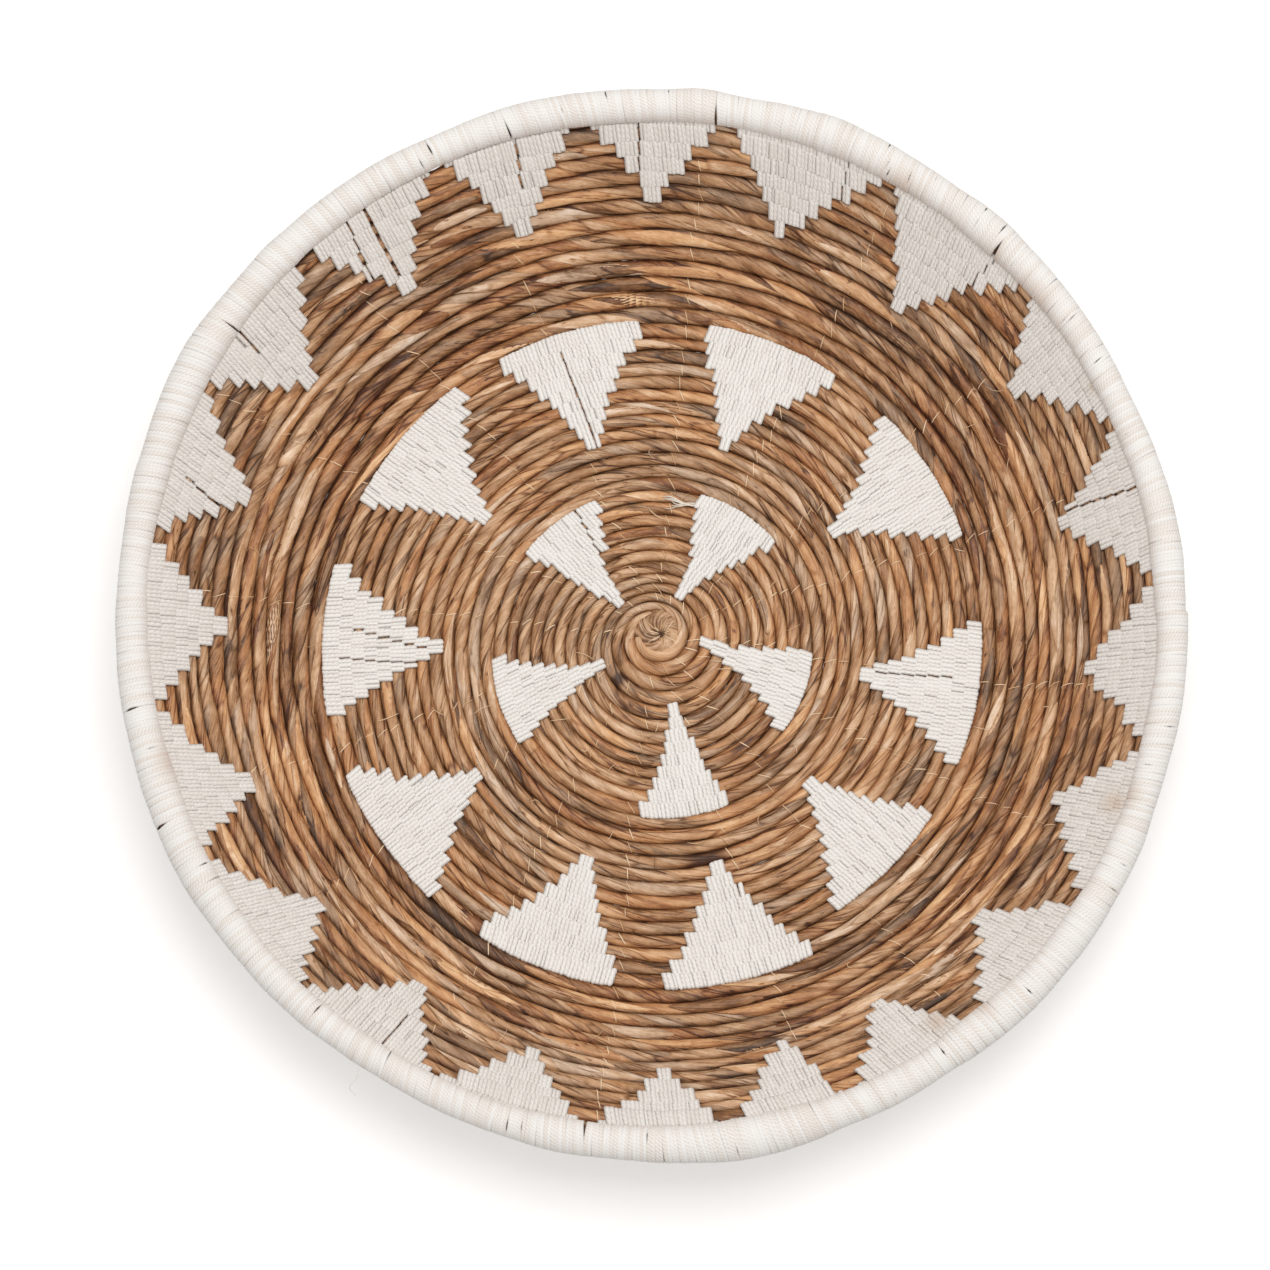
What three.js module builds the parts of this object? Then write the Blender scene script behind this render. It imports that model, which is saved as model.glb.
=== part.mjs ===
// A round coiled wall basket: two twisted fibre ropes wound side by side, flat and then up into a bowl,
// with cotton yarn figures worked over its rows and a fat hoop bound in yarn for a rim.
// Millimetres. The basket hangs as on a wall: +Z is up, its face looks along -Y, and its back rests at y = 0.
import * as THREE from 'three';

// Sizes of the whole basket
const outerDiameter = 450;
const rimThickness = 14;
const wrapThickness = 1.3;
const floorRadius = 133;
const bendRadius = 81;
const wallSlope = THREE.MathUtils.degToRad(40);
const ovalAmount = 0.01;
const ovalAngle = THREE.MathUtils.degToRad(120);

// The ropes and their rows. Two ropes are wound side by side, so each turn adds two rows.
const ropeCount = 2;
const innerPitch = 5.14;
const floorPitch = 5.56;
const wallPitch = 6.45;
const innerRows = 12;
const floorRows = 25;
const innerDistance = 65;
const floorDistance = innerDistance + (floorRows - innerRows) * floorPitch;
const rowGap = 0.55;
const halfRow = 0.5;
const halfFloorRope = 2.5;
const pieceGap = 0.35;
const thinnestRope = 1.6;
const innerSteps = 16;
const outerSteps = 32;

// How far the floor's rows are drawn off the knot, and towards where
const driftAngle = THREE.MathUtils.degToRad(288);
const driftReach = 6.3;
const driftStart = 5;
const driftRise = 25;

// The rows after which one length of rope is spliced to the next
const curlEnd = 5;
const innerFieldEnd = 12.25;
const plainBandEnd = 16.5;
const middleFieldEnd = 25;
const turnUpEnd = 32;

// The yarn worked over the rows
const yarnThickness = 1.4;
const tipWidth = 3.4;

// The knot that the coil starts from
const knotDepth = 5;
const dimpleRadius = 1.7;
const dimpleDepth = 1.3;
const knotRopeGap = 0.5;

// The faces of the rim's hoop
const rimSteps = 64;
const coreSides = 6;
const wrapOutsideSides = 11;
const wrapInsideSides = 7;
const slitAngle = THREE.MathUtils.degToRad(18);

// How finely the least gap is measured, and the smallest step that counts
const gapSamples = 96;
const tiny = 1e-6;

const fullTurn = 2 * Math.PI;
const bendLength = bendRadius * wallSlope;
const rimRadius = (outerDiameter - rimThickness) / 2;

// Finishes
const ropeFinish = new THREE.MeshStandardMaterial({ color: 0x9c6f45, roughness: 0.8, metalness: 0 });
const wallRopeFinish = new THREE.MeshStandardMaterial({ color: 0x8f6138, roughness: 0.8, metalness: 0 });
const yarnFinish = new THREE.MeshStandardMaterial({ color: 0xe6e1da, roughness: 0.9, metalness: 0 });
const coreFinish = new THREE.MeshStandardMaterial({ color: 0xa98a62, roughness: 0.9, metalness: 0 });

const basket = new THREE.Group();

function addPiece(name, geometry, finish) {
  const piece = new THREE.Mesh(geometry, finish.clone());
  piece.name = name;
  basket.add(piece);
}

// The bowl's half section, a flat floor that bends up into a straight wall.
// u is the distance out from the centre along the middle of the rope, rise is the height towards the viewer.
function halfSection(u) {
  const bend = THREE.MathUtils.clamp((u - floorRadius) / bendRadius, 0, wallSlope);
  const straight = Math.max(0, u - floorRadius - bendLength);
  const flat = Math.min(u, floorRadius);
  return {
    radius: flat + bendRadius * Math.sin(bend) + straight * Math.cos(bend),
    rise: bendRadius * (1 - Math.cos(bend)) + straight * Math.sin(bend),
    slope: bend,
  };
}

const wallStart = halfSection(floorRadius + bendLength);
const rimDistance = floorRadius + bendLength + (rimRadius - wallStart.radius) / Math.cos(wallSlope);
const rimRise = halfSection(rimDistance).rise;
const edgeDistance = rimDistance - rimThickness / 2 - pieceGap;

// A handmade hoop isn't quite round, so the bowl grows slightly oval towards its rim.
function place(angle, radius, y) {
  const reach = Math.min(radius / rimRadius, 1);
  const oval = 1 + ovalAmount * reach * reach * Math.cos(2 * (angle - ovalAngle));
  return new THREE.Vector3(radius * oval * Math.cos(angle), y, radius * oval * Math.sin(angle));
}

// A point over the bowl, proud of the middle of the rope by the given height on the viewer's side.
function onBowl(angle, u, proud, shrink = 1) {
  const { radius, rise, slope } = halfSection(u);
  const out = (radius - proud * Math.sin(slope)) * shrink;
  return place(angle, out, -halfFloorRope - rise - proud * Math.cos(slope));
}

// Where the groove that starts a row lies. The rows of the floor are drawn off centre, and the rows of
// the wall even that out again.
function grooveAt(row, angle) {
  const inner = innerDistance + Math.min(row - innerRows, 0) * innerPitch;
  const floor = THREE.MathUtils.clamp(row - innerRows, 0, floorRows - innerRows) * floorPitch;
  const plain = Math.min(inner + floor + Math.max(row - floorRows, 0) * wallPitch, edgeDistance);
  const growing = (plain - driftStart) / driftRise;
  const fading = (edgeDistance - plain) / (edgeDistance - floorDistance);
  const drift = driftReach * THREE.MathUtils.clamp(Math.min(growing, fading), 0, 1);
  return plain + drift * Math.cos(angle - driftAngle);
}

function ropeWidth(row, angle) {
  return grooveAt(row + 1, angle) - grooveAt(row, angle) - rowGap;
}

// The row that a rope, the first or the second one, has reached after so many turns.
function rowAfter(turns, rope) {
  return turns * ropeCount + rope;
}

function turnsAt(row, rope) {
  return (row - rope) / ropeCount;
}

function stepsPerTurn(turns) {
  return turns < innerRows / ropeCount ? innerSteps : outerSteps;
}

// A rope's four-sided section at a corner of its many-sided turns. Its back goes no further than the wall.
function ropeCorner(turns, rope) {
  const angle = turns * fullTurn;
  const row = rowAfter(turns, rope);
  const middle = (grooveAt(row, angle) + grooveAt(row + 1, angle)) / 2;
  const half = ropeWidth(row, angle) / 2;
  const { rise, slope } = halfSection(middle);
  const toWall = (halfFloorRope + rise) / Math.cos(slope);
  return [
    onBowl(angle, middle - half, 0),
    onBowl(angle, middle, half),
    onBowl(angle, middle + half, 0),
    onBowl(angle, middle, -Math.min(half, toWall)),
  ];
}

// The section anywhere along a rope, which runs straight between the corners of its turns.
function ropeSection(turns, rope) {
  const steps = stepsPerTurn(turns);
  const before = Math.floor(turns * steps) / steps;
  const along = (turns - before) * steps;
  const start = ropeCorner(before, rope);
  const end = ropeCorner(before + 1 / steps, rope);
  return start.map((point, i) => point.clone().lerp(end[i], along));
}

function addQuad(corners, a, b, c, d) {
  corners.push(a, b, c, a, c, d);
}

function closedGeometry(corners) {
  const geometry = new THREE.BufferGeometry().setFromPoints(corners);
  geometry.computeVertexNormals();
  return geometry;
}

function ropeGeometry(sections) {
  const corners = [];
  for (let i = 0; i + 1 < sections.length; i += 1) {
    for (let side = 0; side < 4; side += 1) {
      const next = (side + 1) % 4;
      addQuad(corners, sections[i][side], sections[i][next], sections[i + 1][next], sections[i + 1][side]);
    }
  }
  const first = sections[0];
  const last = sections[sections.length - 1];
  addQuad(corners, first[3], first[2], first[1], first[0]);
  addQuad(corners, last[0], last[1], last[2], last[3]);
  return closedGeometry(corners);
}

// The least gap between a rope's outer edge and the next row's inner edge, measured on points.
function leastGap(rope, from, to) {
  const other = ropeCount - 1 - rope;
  let least = Infinity;
  for (let i = Math.ceil(turnsAt(from, rope) * gapSamples); i < turnsAt(to - 1, rope) * gapSamples; i += 1) {
    const outerEdge = ropeSection(i / gapSamples, rope)[2];
    for (let near = -2; near <= 2; near += 1) {
      const innerEdge = ropeSection((i + near) / gapSamples + rope, other)[0];
      least = Math.min(least, outerEdge.distanceTo(innerEdge));
    }
  }
  return least;
}

function addRope(name, rope, fromRow, toRow, finish) {
  const from = turnsAt(fromRow, rope);
  const to = turnsAt(toRow, rope);
  const trim = (row, turns) => pieceGap / 2 / (fullTurn * halfSection(grooveAt(row, turns * fullTurn)).radius);
  const sections = [ropeSection(from + trim(fromRow, from), rope)];
  let turns = Math.floor(from * stepsPerTurn(from) + tiny) / stepsPerTurn(from);
  while (turns + 1 / stepsPerTurn(turns) < to - tiny) {
    turns += 1 / stepsPerTurn(turns);
    sections.push(ropeCorner(turns, rope));
  }
  sections.push(ropeSection(to - trim(toRow, to), rope));
  addPiece(name, ropeGeometry(sections), finish);
}

// Each rope is pieced out of seven lengths, spliced end to end where one runs out. The last ones
// thin away against the rim, so that the coil ends in a round edge.
const lastRow = floorRows + (edgeDistance - floorDistance) / wallPitch;
const ropeEnd = lastRow - (rowGap + thinnestRope) / wallPitch;
const ropeStart = 1 + (ropeCount * knotRopeGap) / (fullTurn * grooveAt(1, 0));
const wallEnd = Math.floor(lastRow - 1);
['', 'second_'].forEach((prefix, rope) => {
  addRope(`${prefix}rope_start_curl`, rope, ropeStart, curlEnd, ropeFinish);
  addRope(`${prefix}rope_inner_field`, rope, curlEnd, innerFieldEnd, ropeFinish);
  addRope(`${prefix}rope_plain_band`, rope, innerFieldEnd, plainBandEnd, ropeFinish);
  addRope(`${prefix}rope_middle_field`, rope, plainBandEnd, middleFieldEnd, ropeFinish);
  addRope(`${prefix}rope_turn_up`, rope, middleFieldEnd, turnUpEnd, wallRopeFinish);
  addRope(`${prefix}rope_wall`, rope, turnUpEnd, wallEnd, wallRopeFinish);
  addRope(`${prefix}rope_tapered_end`, rope, wallEnd, ropeEnd, wallRopeFinish);
  console.log(`rope ${rope + 1}: least gap ${leastGap(rope, ropeStart, ropeEnd).toFixed(2)} mm`);
});

// The knot at the heart of the coil is the ropes' own start, curled up tight. Its edge winds outwards
// in two arms, and a rope goes on from each. The first stitches pull in a dimple.
function knotColumn(arm, step) {
  const angle = fullTurn * (arm / ropeCount + step / innerSteps);
  const edge = grooveAt(1 + (ropeCount * step) / innerSteps, angle) - rowGap / 2;
  const shoulder = edge - halfFloorRope;
  const profile = [
    [dimpleRadius / 2, dimpleDepth - knotDepth],
    [dimpleRadius, -knotDepth],
    [shoulder, -knotDepth],
    [edge, -halfFloorRope],
    [shoulder, 0],
  ];
  const backOff = step === innerSteps / ropeCount ? pieceGap / 2 : 0;
  return profile.map(([radius, y]) => place(angle - backOff / radius, radius, y));
}

function knotGeometry() {
  const columns = [];
  for (let arm = 0; arm < ropeCount; arm += 1) {
    for (let step = 0; step <= innerSteps / ropeCount; step += 1) {
      columns.push(knotColumn(arm, step));
    }
  }
  const dimple = place(0, 0, dimpleDepth - knotDepth);
  const back = place(0, 0, 0);
  const corners = [];
  columns.forEach((here, i) => {
    const there = columns[(i + 1) % columns.length];
    corners.push(dimple, here[0], there[0]);
    for (let k = 0; k + 1 < here.length; k += 1) {
      addQuad(corners, here[k], here[k + 1], there[k + 1], there[k]);
    }
    corners.push(here[here.length - 1], back, there[there.length - 1]);
  });
  return closedGeometry(corners);
}

addPiece('centre_knot', knotGeometry(), ropeFinish);

// A figure is yarn laid over whole rows of rope, so its slanting sides are stepped. Each row of it
// reaches a little further round than the row before, from the tip out to the base.
function figureRows(figure) {
  const tipRow = figure.firstRow + (ropeCount * figure.tip) / fullTurn;
  const tipHalf = tipWidth / 2 / halfSection(grooveAt(tipRow + halfRow, figure.tip)).radius;
  const rows = [];
  for (let i = 0; i < figure.rows; i += 1) {
    const spread = (i + halfRow) / figure.rows;
    rows.push({
      from: THREE.MathUtils.lerp(figure.tip - tipHalf, figure.from, spread),
      to: THREE.MathUtils.lerp(figure.tip + tipHalf, figure.to, spread),
    });
  }
  return rows;
}

function stepAngle(firstLine) {
  return fullTurn / (firstLine <= innerRows ? innerSteps : outerSteps);
}

// The ropes' turns are many-sided, and the yarn lies on their flats: these are the corners it bends at.
function bendsBetween(from, to, line) {
  const bends = [];
  const step = stepAngle(line);
  for (let i = Math.ceil(from / step + tiny); i * step < to - tiny; i += 1) {
    bends.push(i * step);
  }
  return bends;
}

// How much nearer the centre a flat runs than the round turn it stands for.
function flatShrink(angle, line) {
  const step = stepAngle(line);
  const within = angle - Math.floor(angle / step) * step - step / 2;
  return Math.cos(step / 2) / Math.cos(within);
}

function figureGeometry(figure) {
  const rows = figureRows(figure);
  const rowAt = (line, angle) => figure.firstRow + line + (ropeCount * angle) / fullTurn;
  const lineDistance = (line, angle) => (
    line === figure.rows && figure.reachesEdge ? edgeDistance : grooveAt(rowAt(line, angle), angle)
  );
  const middle = (figure.from + figure.to) / 2;

  // The angles at which the yarn has a corner on each line between two rows.
  const lines = [];
  for (let line = 0; line <= figure.rows; line += 1) {
    const within = rows[Math.min(line, figure.rows - 1)];
    const angles = [within.from, within.to];
    if (line > 0 && line < figure.rows) {
      angles.push(rows[line - 1].from, rows[line - 1].to);
    }
    const raised = lineDistance(line, middle) > floorRadius - wallPitch;
    if (raised || line === 0 || line === figure.rows) {
      angles.push(...bendsBetween(within.from, within.to, figure.firstRow + line));
    }
    lines.push(angles.sort((a, b) => a - b));
  }

  const point = (line, angle, top) => {
    const u = lineDistance(line, angle);
    const row = Math.min(rowAt(line, angle), lastRow - 1);
    const underside = ropeWidth(row - halfRow, angle) / 2 + pieceGap;
    return onBowl(angle, u, underside + (top ? yarnThickness : 0), flatShrink(angle, figure.firstRow + line));
  };

  const corners = [];
  const wall = (lineA, angleA, lineB, angleB) => {
    const low = [point(lineA, angleA, false), point(lineB, angleB, false)];
    const high = [point(lineA, angleA, true), point(lineB, angleB, true)];
    addQuad(corners, low[0], high[0], high[1], low[1]);
  };
  rows.forEach(({ from, to }, row) => {
    const inner = lines[row].filter((angle) => angle >= from && angle <= to);
    const outer = lines[row + 1].filter((angle) => angle >= from && angle <= to);
    let i = 0;
    let j = 0;
    while (i + 1 < inner.length || j + 1 < outer.length) {
      const innerNext = i + 1 < inner.length ? inner[i + 1] : Infinity;
      const outerNext = j + 1 < outer.length ? outer[j + 1] : Infinity;
      const useInner = innerNext < outerNext;
      const third = useInner ? [row, innerNext] : [row + 1, outerNext];
      const triangle = [[row, inner[i]], third, [row + 1, outer[j]]];
      triangle.forEach(([line, angle]) => corners.push(point(line, angle, false)));
      triangle.reverse().forEach(([line, angle]) => corners.push(point(line, angle, true)));
      i += useInner ? 1 : 0;
      j += useInner ? 0 : 1;
    }
    wall(row + 1, from, row, from);
    wall(row, to, row + 1, to);
    if (row > 0) {
      const before = rows[row - 1];
      for (let k = 0; k + 1 < inner.length; k += 1) {
        if (inner[k + 1] <= before.from || inner[k] >= before.to) {
          wall(row, inner[k], row, inner[k + 1]);
        }
      }
    } else {
      for (let k = 0; k + 1 < inner.length; k += 1) {
        wall(0, inner[k], 0, inner[k + 1]);
      }
    }
    if (row === figure.rows - 1) {
      for (let k = outer.length - 1; k > 0; k -= 1) {
        wall(row + 1, outer[k], row + 1, outer[k - 1]);
      }
    }
  });
  return closedGeometry(corners);
}

function addFigures(name, figures) {
  figures.forEach((figure, i) => {
    const turned = {
      ...figure,
      from: THREE.MathUtils.degToRad(figure.from),
      to: THREE.MathUtils.degToRad(figure.to),
      tip: THREE.MathUtils.degToRad(figure.tip),
    };
    addPiece(`${name}_${i + 1}`, figureGeometry(turned), yarnFinish);
  });
}

// Five figures round the centre, nine rows deep. Angles are in degrees, anticlockwise from the viewer's
// right. A ring of figures starts on one groove, which is two rows further out after a whole turn.
const figureDepth = 9;
addFigures('inner_figure', [
  { from: 35, to: 73, tip: 54, firstRow: 3, rows: figureDepth },
  { from: 112, to: 149, tip: 141, firstRow: 3, rows: figureDepth },
  { from: 188, to: 220, tip: 212, firstRow: 3, rows: figureDepth },
  { from: 265, to: 293, tip: 284, firstRow: 3, rows: figureDepth },
  { from: 321, to: 353, tip: 344, firstRow: 1, rows: figureDepth },
]);

// Ten figures in the middle field
addFigures('middle_figure', [
  { from: 16, to: 44, tip: 29, firstRow: 16, rows: figureDepth },
  { from: 54, to: 81, tip: 70, firstRow: 16, rows: figureDepth },
  { from: 92, to: 120, tip: 108, firstRow: 16, rows: figureDepth },
  { from: 127, to: 156, tip: 146, firstRow: 16, rows: figureDepth },
  { from: 167, to: 195, tip: 184, firstRow: 16, rows: figureDepth },
  { from: 204, to: 231, tip: 219, firstRow: 16, rows: figureDepth },
  { from: 239, to: 264, tip: 254, firstRow: 16, rows: figureDepth },
  { from: 271, to: 296, tip: 285, firstRow: 16, rows: figureDepth },
  { from: 302, to: 327, tip: 315, firstRow: 14, rows: figureDepth },
  { from: 335, to: 362, tip: 348, firstRow: 14, rows: figureDepth },
]);

// Twenty figures hang from the rim, a notch of bare rope between each two. Their rows end at the edge.
const notches = [4, 22, 41, 61, 81, 98, 115, 134, 152, 170, 190, 208, 227, 245, 263, 278.5, 292.5, 309, 326, 345];
const tips = [14, 33, 53, 72.5, 90, 108, 125.5, 144, 162, 180, 201.5, 220.5, 237, 254.5, 272, 287, 300.5, 318, 336, 354];
const tipRows = [32, 33, 31, 32, 33, 32, 32, 32, 32, 32, 32, 32, 31, 32, 32, 31, 31, 31, 31, 31];
const notchWidth = 1.4;
const leastEdgeRow = 0.4;
addFigures('outer_figure', tips.map((tip, i) => {
  const next = i + 1 < notches.length ? notches[i + 1] : notches[0] + 360;
  const rowsToEdge = lastRow - tipRows[i] - (ropeCount * tip) / 360;
  return {
    from: notches[i] + notchWidth / 2,
    to: next - notchWidth / 2,
    tip,
    firstRow: tipRows[i],
    rows: Math.ceil(rowsToEdge - leastEdgeRow),
    reachesEdge: true,
  };
}));

// Turning a half section about the basket's own axis, then making it oval like the rest.
function hoopGeometry(profile) {
  const corners = [];
  for (let step = 0; step < rimSteps; step += 1) {
    const angle = (step * fullTurn) / rimSteps;
    const nextAngle = ((step + 1) * fullTurn) / rimSteps;
    profile.forEach((here, i) => {
      const there = profile[(i + 1) % profile.length];
      addQuad(
        corners,
        place(angle, here.x, here.y),
        place(angle, there.x, there.y),
        place(nextAngle, there.x, there.y),
        place(nextAngle, here.x, here.y),
      );
    });
  }
  return closedGeometry(corners);
}

function hoopPoint(radius, angle) {
  return new THREE.Vector2(
    rimRadius + radius * Math.cos(angle),
    -halfFloorRope - rimRise + radius * Math.sin(angle),
  );
}

// The rim's core is a stiff bundle of fibre.
const coreRadius = rimThickness / 2 - wrapThickness - pieceGap;
const coreProfile = [];
for (let i = 0; i < coreSides; i += 1) {
  coreProfile.push(hoopPoint(coreRadius, (i * fullTurn) / coreSides));
}
addPiece('rim_core', hoopGeometry(coreProfile), coreFinish);

// The yarn bound round the core leaves it through one seam, where it dives between rim and last row.
const seam = Math.PI - wallSlope;
const wrapInsideRadius = (rimThickness / 2 - wrapThickness) / Math.cos((fullTurn - slitAngle) / wrapInsideSides / 2);
const wrapProfile = [];
for (let i = 0; i <= wrapOutsideSides; i += 1) {
  const angle = seam + slitAngle / 2 + (i * (fullTurn - slitAngle)) / wrapOutsideSides;
  wrapProfile.push(hoopPoint(rimThickness / 2, angle));
}
for (let i = wrapInsideSides; i >= 0; i -= 1) {
  const angle = seam + slitAngle / 2 + (i * (fullTurn - slitAngle)) / wrapInsideSides;
  wrapProfile.push(hoopPoint(wrapInsideRadius, angle));
}
addPiece('rim_wrap', hoopGeometry(wrapProfile), yarnFinish);

export default basket;
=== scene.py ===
import math

import bpy
import numpy as np
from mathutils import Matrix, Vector


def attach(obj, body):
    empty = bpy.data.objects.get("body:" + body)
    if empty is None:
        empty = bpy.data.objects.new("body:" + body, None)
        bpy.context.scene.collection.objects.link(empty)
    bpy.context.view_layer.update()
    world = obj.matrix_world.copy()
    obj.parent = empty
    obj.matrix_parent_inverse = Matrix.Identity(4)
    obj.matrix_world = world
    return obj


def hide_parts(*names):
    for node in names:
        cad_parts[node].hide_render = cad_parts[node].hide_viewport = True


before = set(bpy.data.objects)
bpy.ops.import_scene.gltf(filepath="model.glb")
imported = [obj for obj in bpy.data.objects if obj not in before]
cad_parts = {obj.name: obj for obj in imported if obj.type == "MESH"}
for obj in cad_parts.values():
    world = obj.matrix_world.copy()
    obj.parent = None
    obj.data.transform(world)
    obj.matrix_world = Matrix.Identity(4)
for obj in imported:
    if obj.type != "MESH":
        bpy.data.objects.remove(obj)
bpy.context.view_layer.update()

# The camera
# A long lens two metres in front of the basket, a little below its middle and a little to its right.
camera_distance = 2.0
camera_rise = math.radians(-9)
camera_side = math.radians(2.5)
looked_at = Vector((0, -0.020, 0))
photo_pixels = 1270
focal_pixels = 4725.5
pixels_right = 17.9
pixels_up = 8.7
sensor_width = 36
look = Vector((
    -math.sin(camera_side) * math.cos(camera_rise),
    math.cos(camera_side) * math.cos(camera_rise),
    -math.sin(camera_rise),
))
lens = bpy.data.cameras.new("camera")
lens.sensor_width = sensor_width
lens.lens = focal_pixels / photo_pixels * sensor_width
lens.shift_x = -pixels_right / photo_pixels
lens.shift_y = -pixels_up / photo_pixels
camera = bpy.data.objects.new("camera", lens)
camera.location = looked_at - camera_distance * look
camera.rotation_euler = look.to_track_quat("-Z", "Y").to_euler()
bpy.context.scene.collection.objects.link(camera)
bpy.context.scene.camera = camera
bpy.context.scene.view_settings.view_transform = "Standard"


# The light and the white wall
# A wide soft lamp above and a little to the right, daylight from all round, and a white wall that
# the basket rests its back on. The wall and the floor are seen from the front only.
class Shade:
    """A value on a material's sockets: sums on it add Math nodes, and add() puts in any other node."""

    def __init__(self, tree, socket=None):
        self.tree = tree
        self.socket = socket

    def add(self, kind, settings, sockets, output=0):
        node = self.tree.nodes.new(kind)
        for name, value in settings.items():
            setattr(node, name, value)
        for place, value in sockets.items():
            if isinstance(value, Shade):
                self.tree.links.new(value.socket, node.inputs[place])
            else:
                node.inputs[place].default_value = value
        return Shade(self.tree, node.outputs[output])

    def sum(self, operation, first, second):
        return self.add("ShaderNodeMath", {"operation": operation}, {0: first, 1: second})

    def __add__(self, other):
        return self.sum("ADD", self, other)

    def __sub__(self, other):
        return self.sum("SUBTRACT", self, other)

    def __rsub__(self, other):
        return self.sum("SUBTRACT", other, self)

    def __mul__(self, other):
        return self.sum("MULTIPLY", self, other)

    __radd__ = __add__
    __rmul__ = __mul__

    def eased(self, low, high):
        """0 below low, 1 above high, and a soft step between."""
        return self.add(
            "ShaderNodeMapRange", {"interpolation_type": "SMOOTHSTEP"}, {0: self, 1: low, 2: high},
        )

    def scaled(self, across, along):
        return self.add(
            "ShaderNodeVectorMath", {"operation": "MULTIPLY"}, {0: self, 1: (across, across, along)},
        )

    def noise(self, detail, roughness):
        sockets = {"Vector": self, "Scale": 1, "Detail": detail, "Roughness": roughness}
        return self.add("ShaderNodeTexNoise", {}, sockets)

    def ramp(self, colours):
        """Evenly spaced colours over this value, from 0 to 1."""
        ramp = self.add("ShaderNodeValToRGB", {}, {0: self})
        steps = ramp.socket.node.color_ramp.elements
        while len(steps) < len(colours):
            steps.new(1)
        for place, colour in enumerate(colours):
            steps[place].position = place / (len(colours) - 1)
            steps[place].color = paint(*colour)
        return ramp

    def mixed(self, first, second):
        """The first colour where this value is 0, and the second where it is 1."""
        return self.add("ShaderNodeMix", {"data_type": "RGBA"}, {0: self, 6: first, 7: second}, 2)


def paint(red, green, blue):
    """A colour given as it looks on a screen, from 0 to 255, as the shader wants it."""
    def plain(level):
        level /= 255
        return level / 12.92 if level <= 0.04045 else ((level + 0.055) / 1.055) ** 2.4
    return (plain(red), plain(green), plain(blue), 1)


def new_material(name):
    material = bpy.data.materials.new(name)
    material.use_nodes = True
    material.node_tree.nodes.clear()
    return material, Shade(material.node_tree)


def with_output(material, shader):
    end = material.node_tree.nodes.new("ShaderNodeOutputMaterial")
    material.node_tree.links.new(shader.socket, end.inputs[0])
    return material


def with_surface(material, shade, strength, distance, height, settings):
    """Ends a material in a surface that is bumped by its height."""
    bump = shade.add("ShaderNodeBump", {}, {"Strength": strength, "Distance": distance, "Height": height})
    return with_output(material, shade.add("ShaderNodeBsdfPrincipled", {}, {"Normal": bump, **settings}))


day_level = 0.64
day_colour = (1.0, 0.985, 0.965, 1)
world = bpy.data.worlds.new("daylight")
world.use_nodes = True
world.node_tree.nodes.clear()
sky = Shade(world.node_tree)
rays = [sky.add("ShaderNodeLightPath", {}, {}, ray) for ray in ("Is Camera Ray", "Is Transmission Ray")]
plain_white = sky.add("ShaderNodeBackground", {}, {"Color": (1, 1, 1, 1), "Strength": 1})
daylight = sky.add("ShaderNodeBackground", {}, {"Color": day_colour, "Strength": day_level})
seen = sky.add("ShaderNodeMixShader", {}, {0: rays[0] + rays[1], 1: daylight, 2: plain_white})
world_end = world.node_tree.nodes.new("ShaderNodeOutputWorld")
world.node_tree.links.new(seen.socket, world_end.inputs[0])
bpy.context.scene.world = world

lamp_place = Vector((0.32, -2.35, 0.56))
lamp_width = 1.2
lamp_power = 29
lamp_colour = (1.0, 0.985, 0.96)
lamp = bpy.data.lights.new("soft_lamp", "AREA")
lamp.size = lamp_width
lamp.energy = lamp_power
lamp.color = lamp_colour
lamp_stand = bpy.data.objects.new("soft_lamp", lamp)
lamp_stand.location = lamp_place
lamp_stand.rotation_euler = (looked_at - lamp_place).to_track_quat("-Z", "Y").to_euler()
bpy.context.scene.collection.objects.link(lamp_stand)

wall_width = 5
wall_gap = 0.0014
floor_drop = 1.1
wall_colour = (0.75, 0.75, 0.75, 1)
wall_glow_colour = (1, 0.995, 0.985, 1)
wall_glow = 0.36
white_paint, wall_shade = new_material("white_wall_paint")
from_camera = wall_shade.add("ShaderNodeLightPath", {}, {}, "Is Camera Ray")
wall_behind = wall_shade.add("ShaderNodeNewGeometry", {}, {}, "Backfacing")
matt = wall_shade.add("ShaderNodeBsdfDiffuse", {}, {"Color": wall_colour})
glow = wall_shade.add("ShaderNodeEmission", {}, {"Color": wall_glow_colour, "Strength": wall_glow})
matt = wall_shade.add("ShaderNodeAddShader", {}, {0: matt, 1: glow})
clear = wall_shade.add("ShaderNodeBsdfTransparent", {}, {})
shown = wall_shade.add("ShaderNodeMixShader", {}, {0: from_camera * (1 - wall_behind), 1: clear, 2: matt})
with_output(white_paint, shown)
for stage_name, place, turn in (
    ("wall", (0, wall_gap, 0), (math.pi / 2, 0, 0)),
    ("floor", (0, 0, -floor_drop), (0, 0, 0)),
):
    bpy.ops.mesh.primitive_plane_add(size=wall_width, location=place, rotation=turn)
    plane = bpy.context.object
    plane.name = stage_name
    plane.data.materials.append(white_paint)


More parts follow.
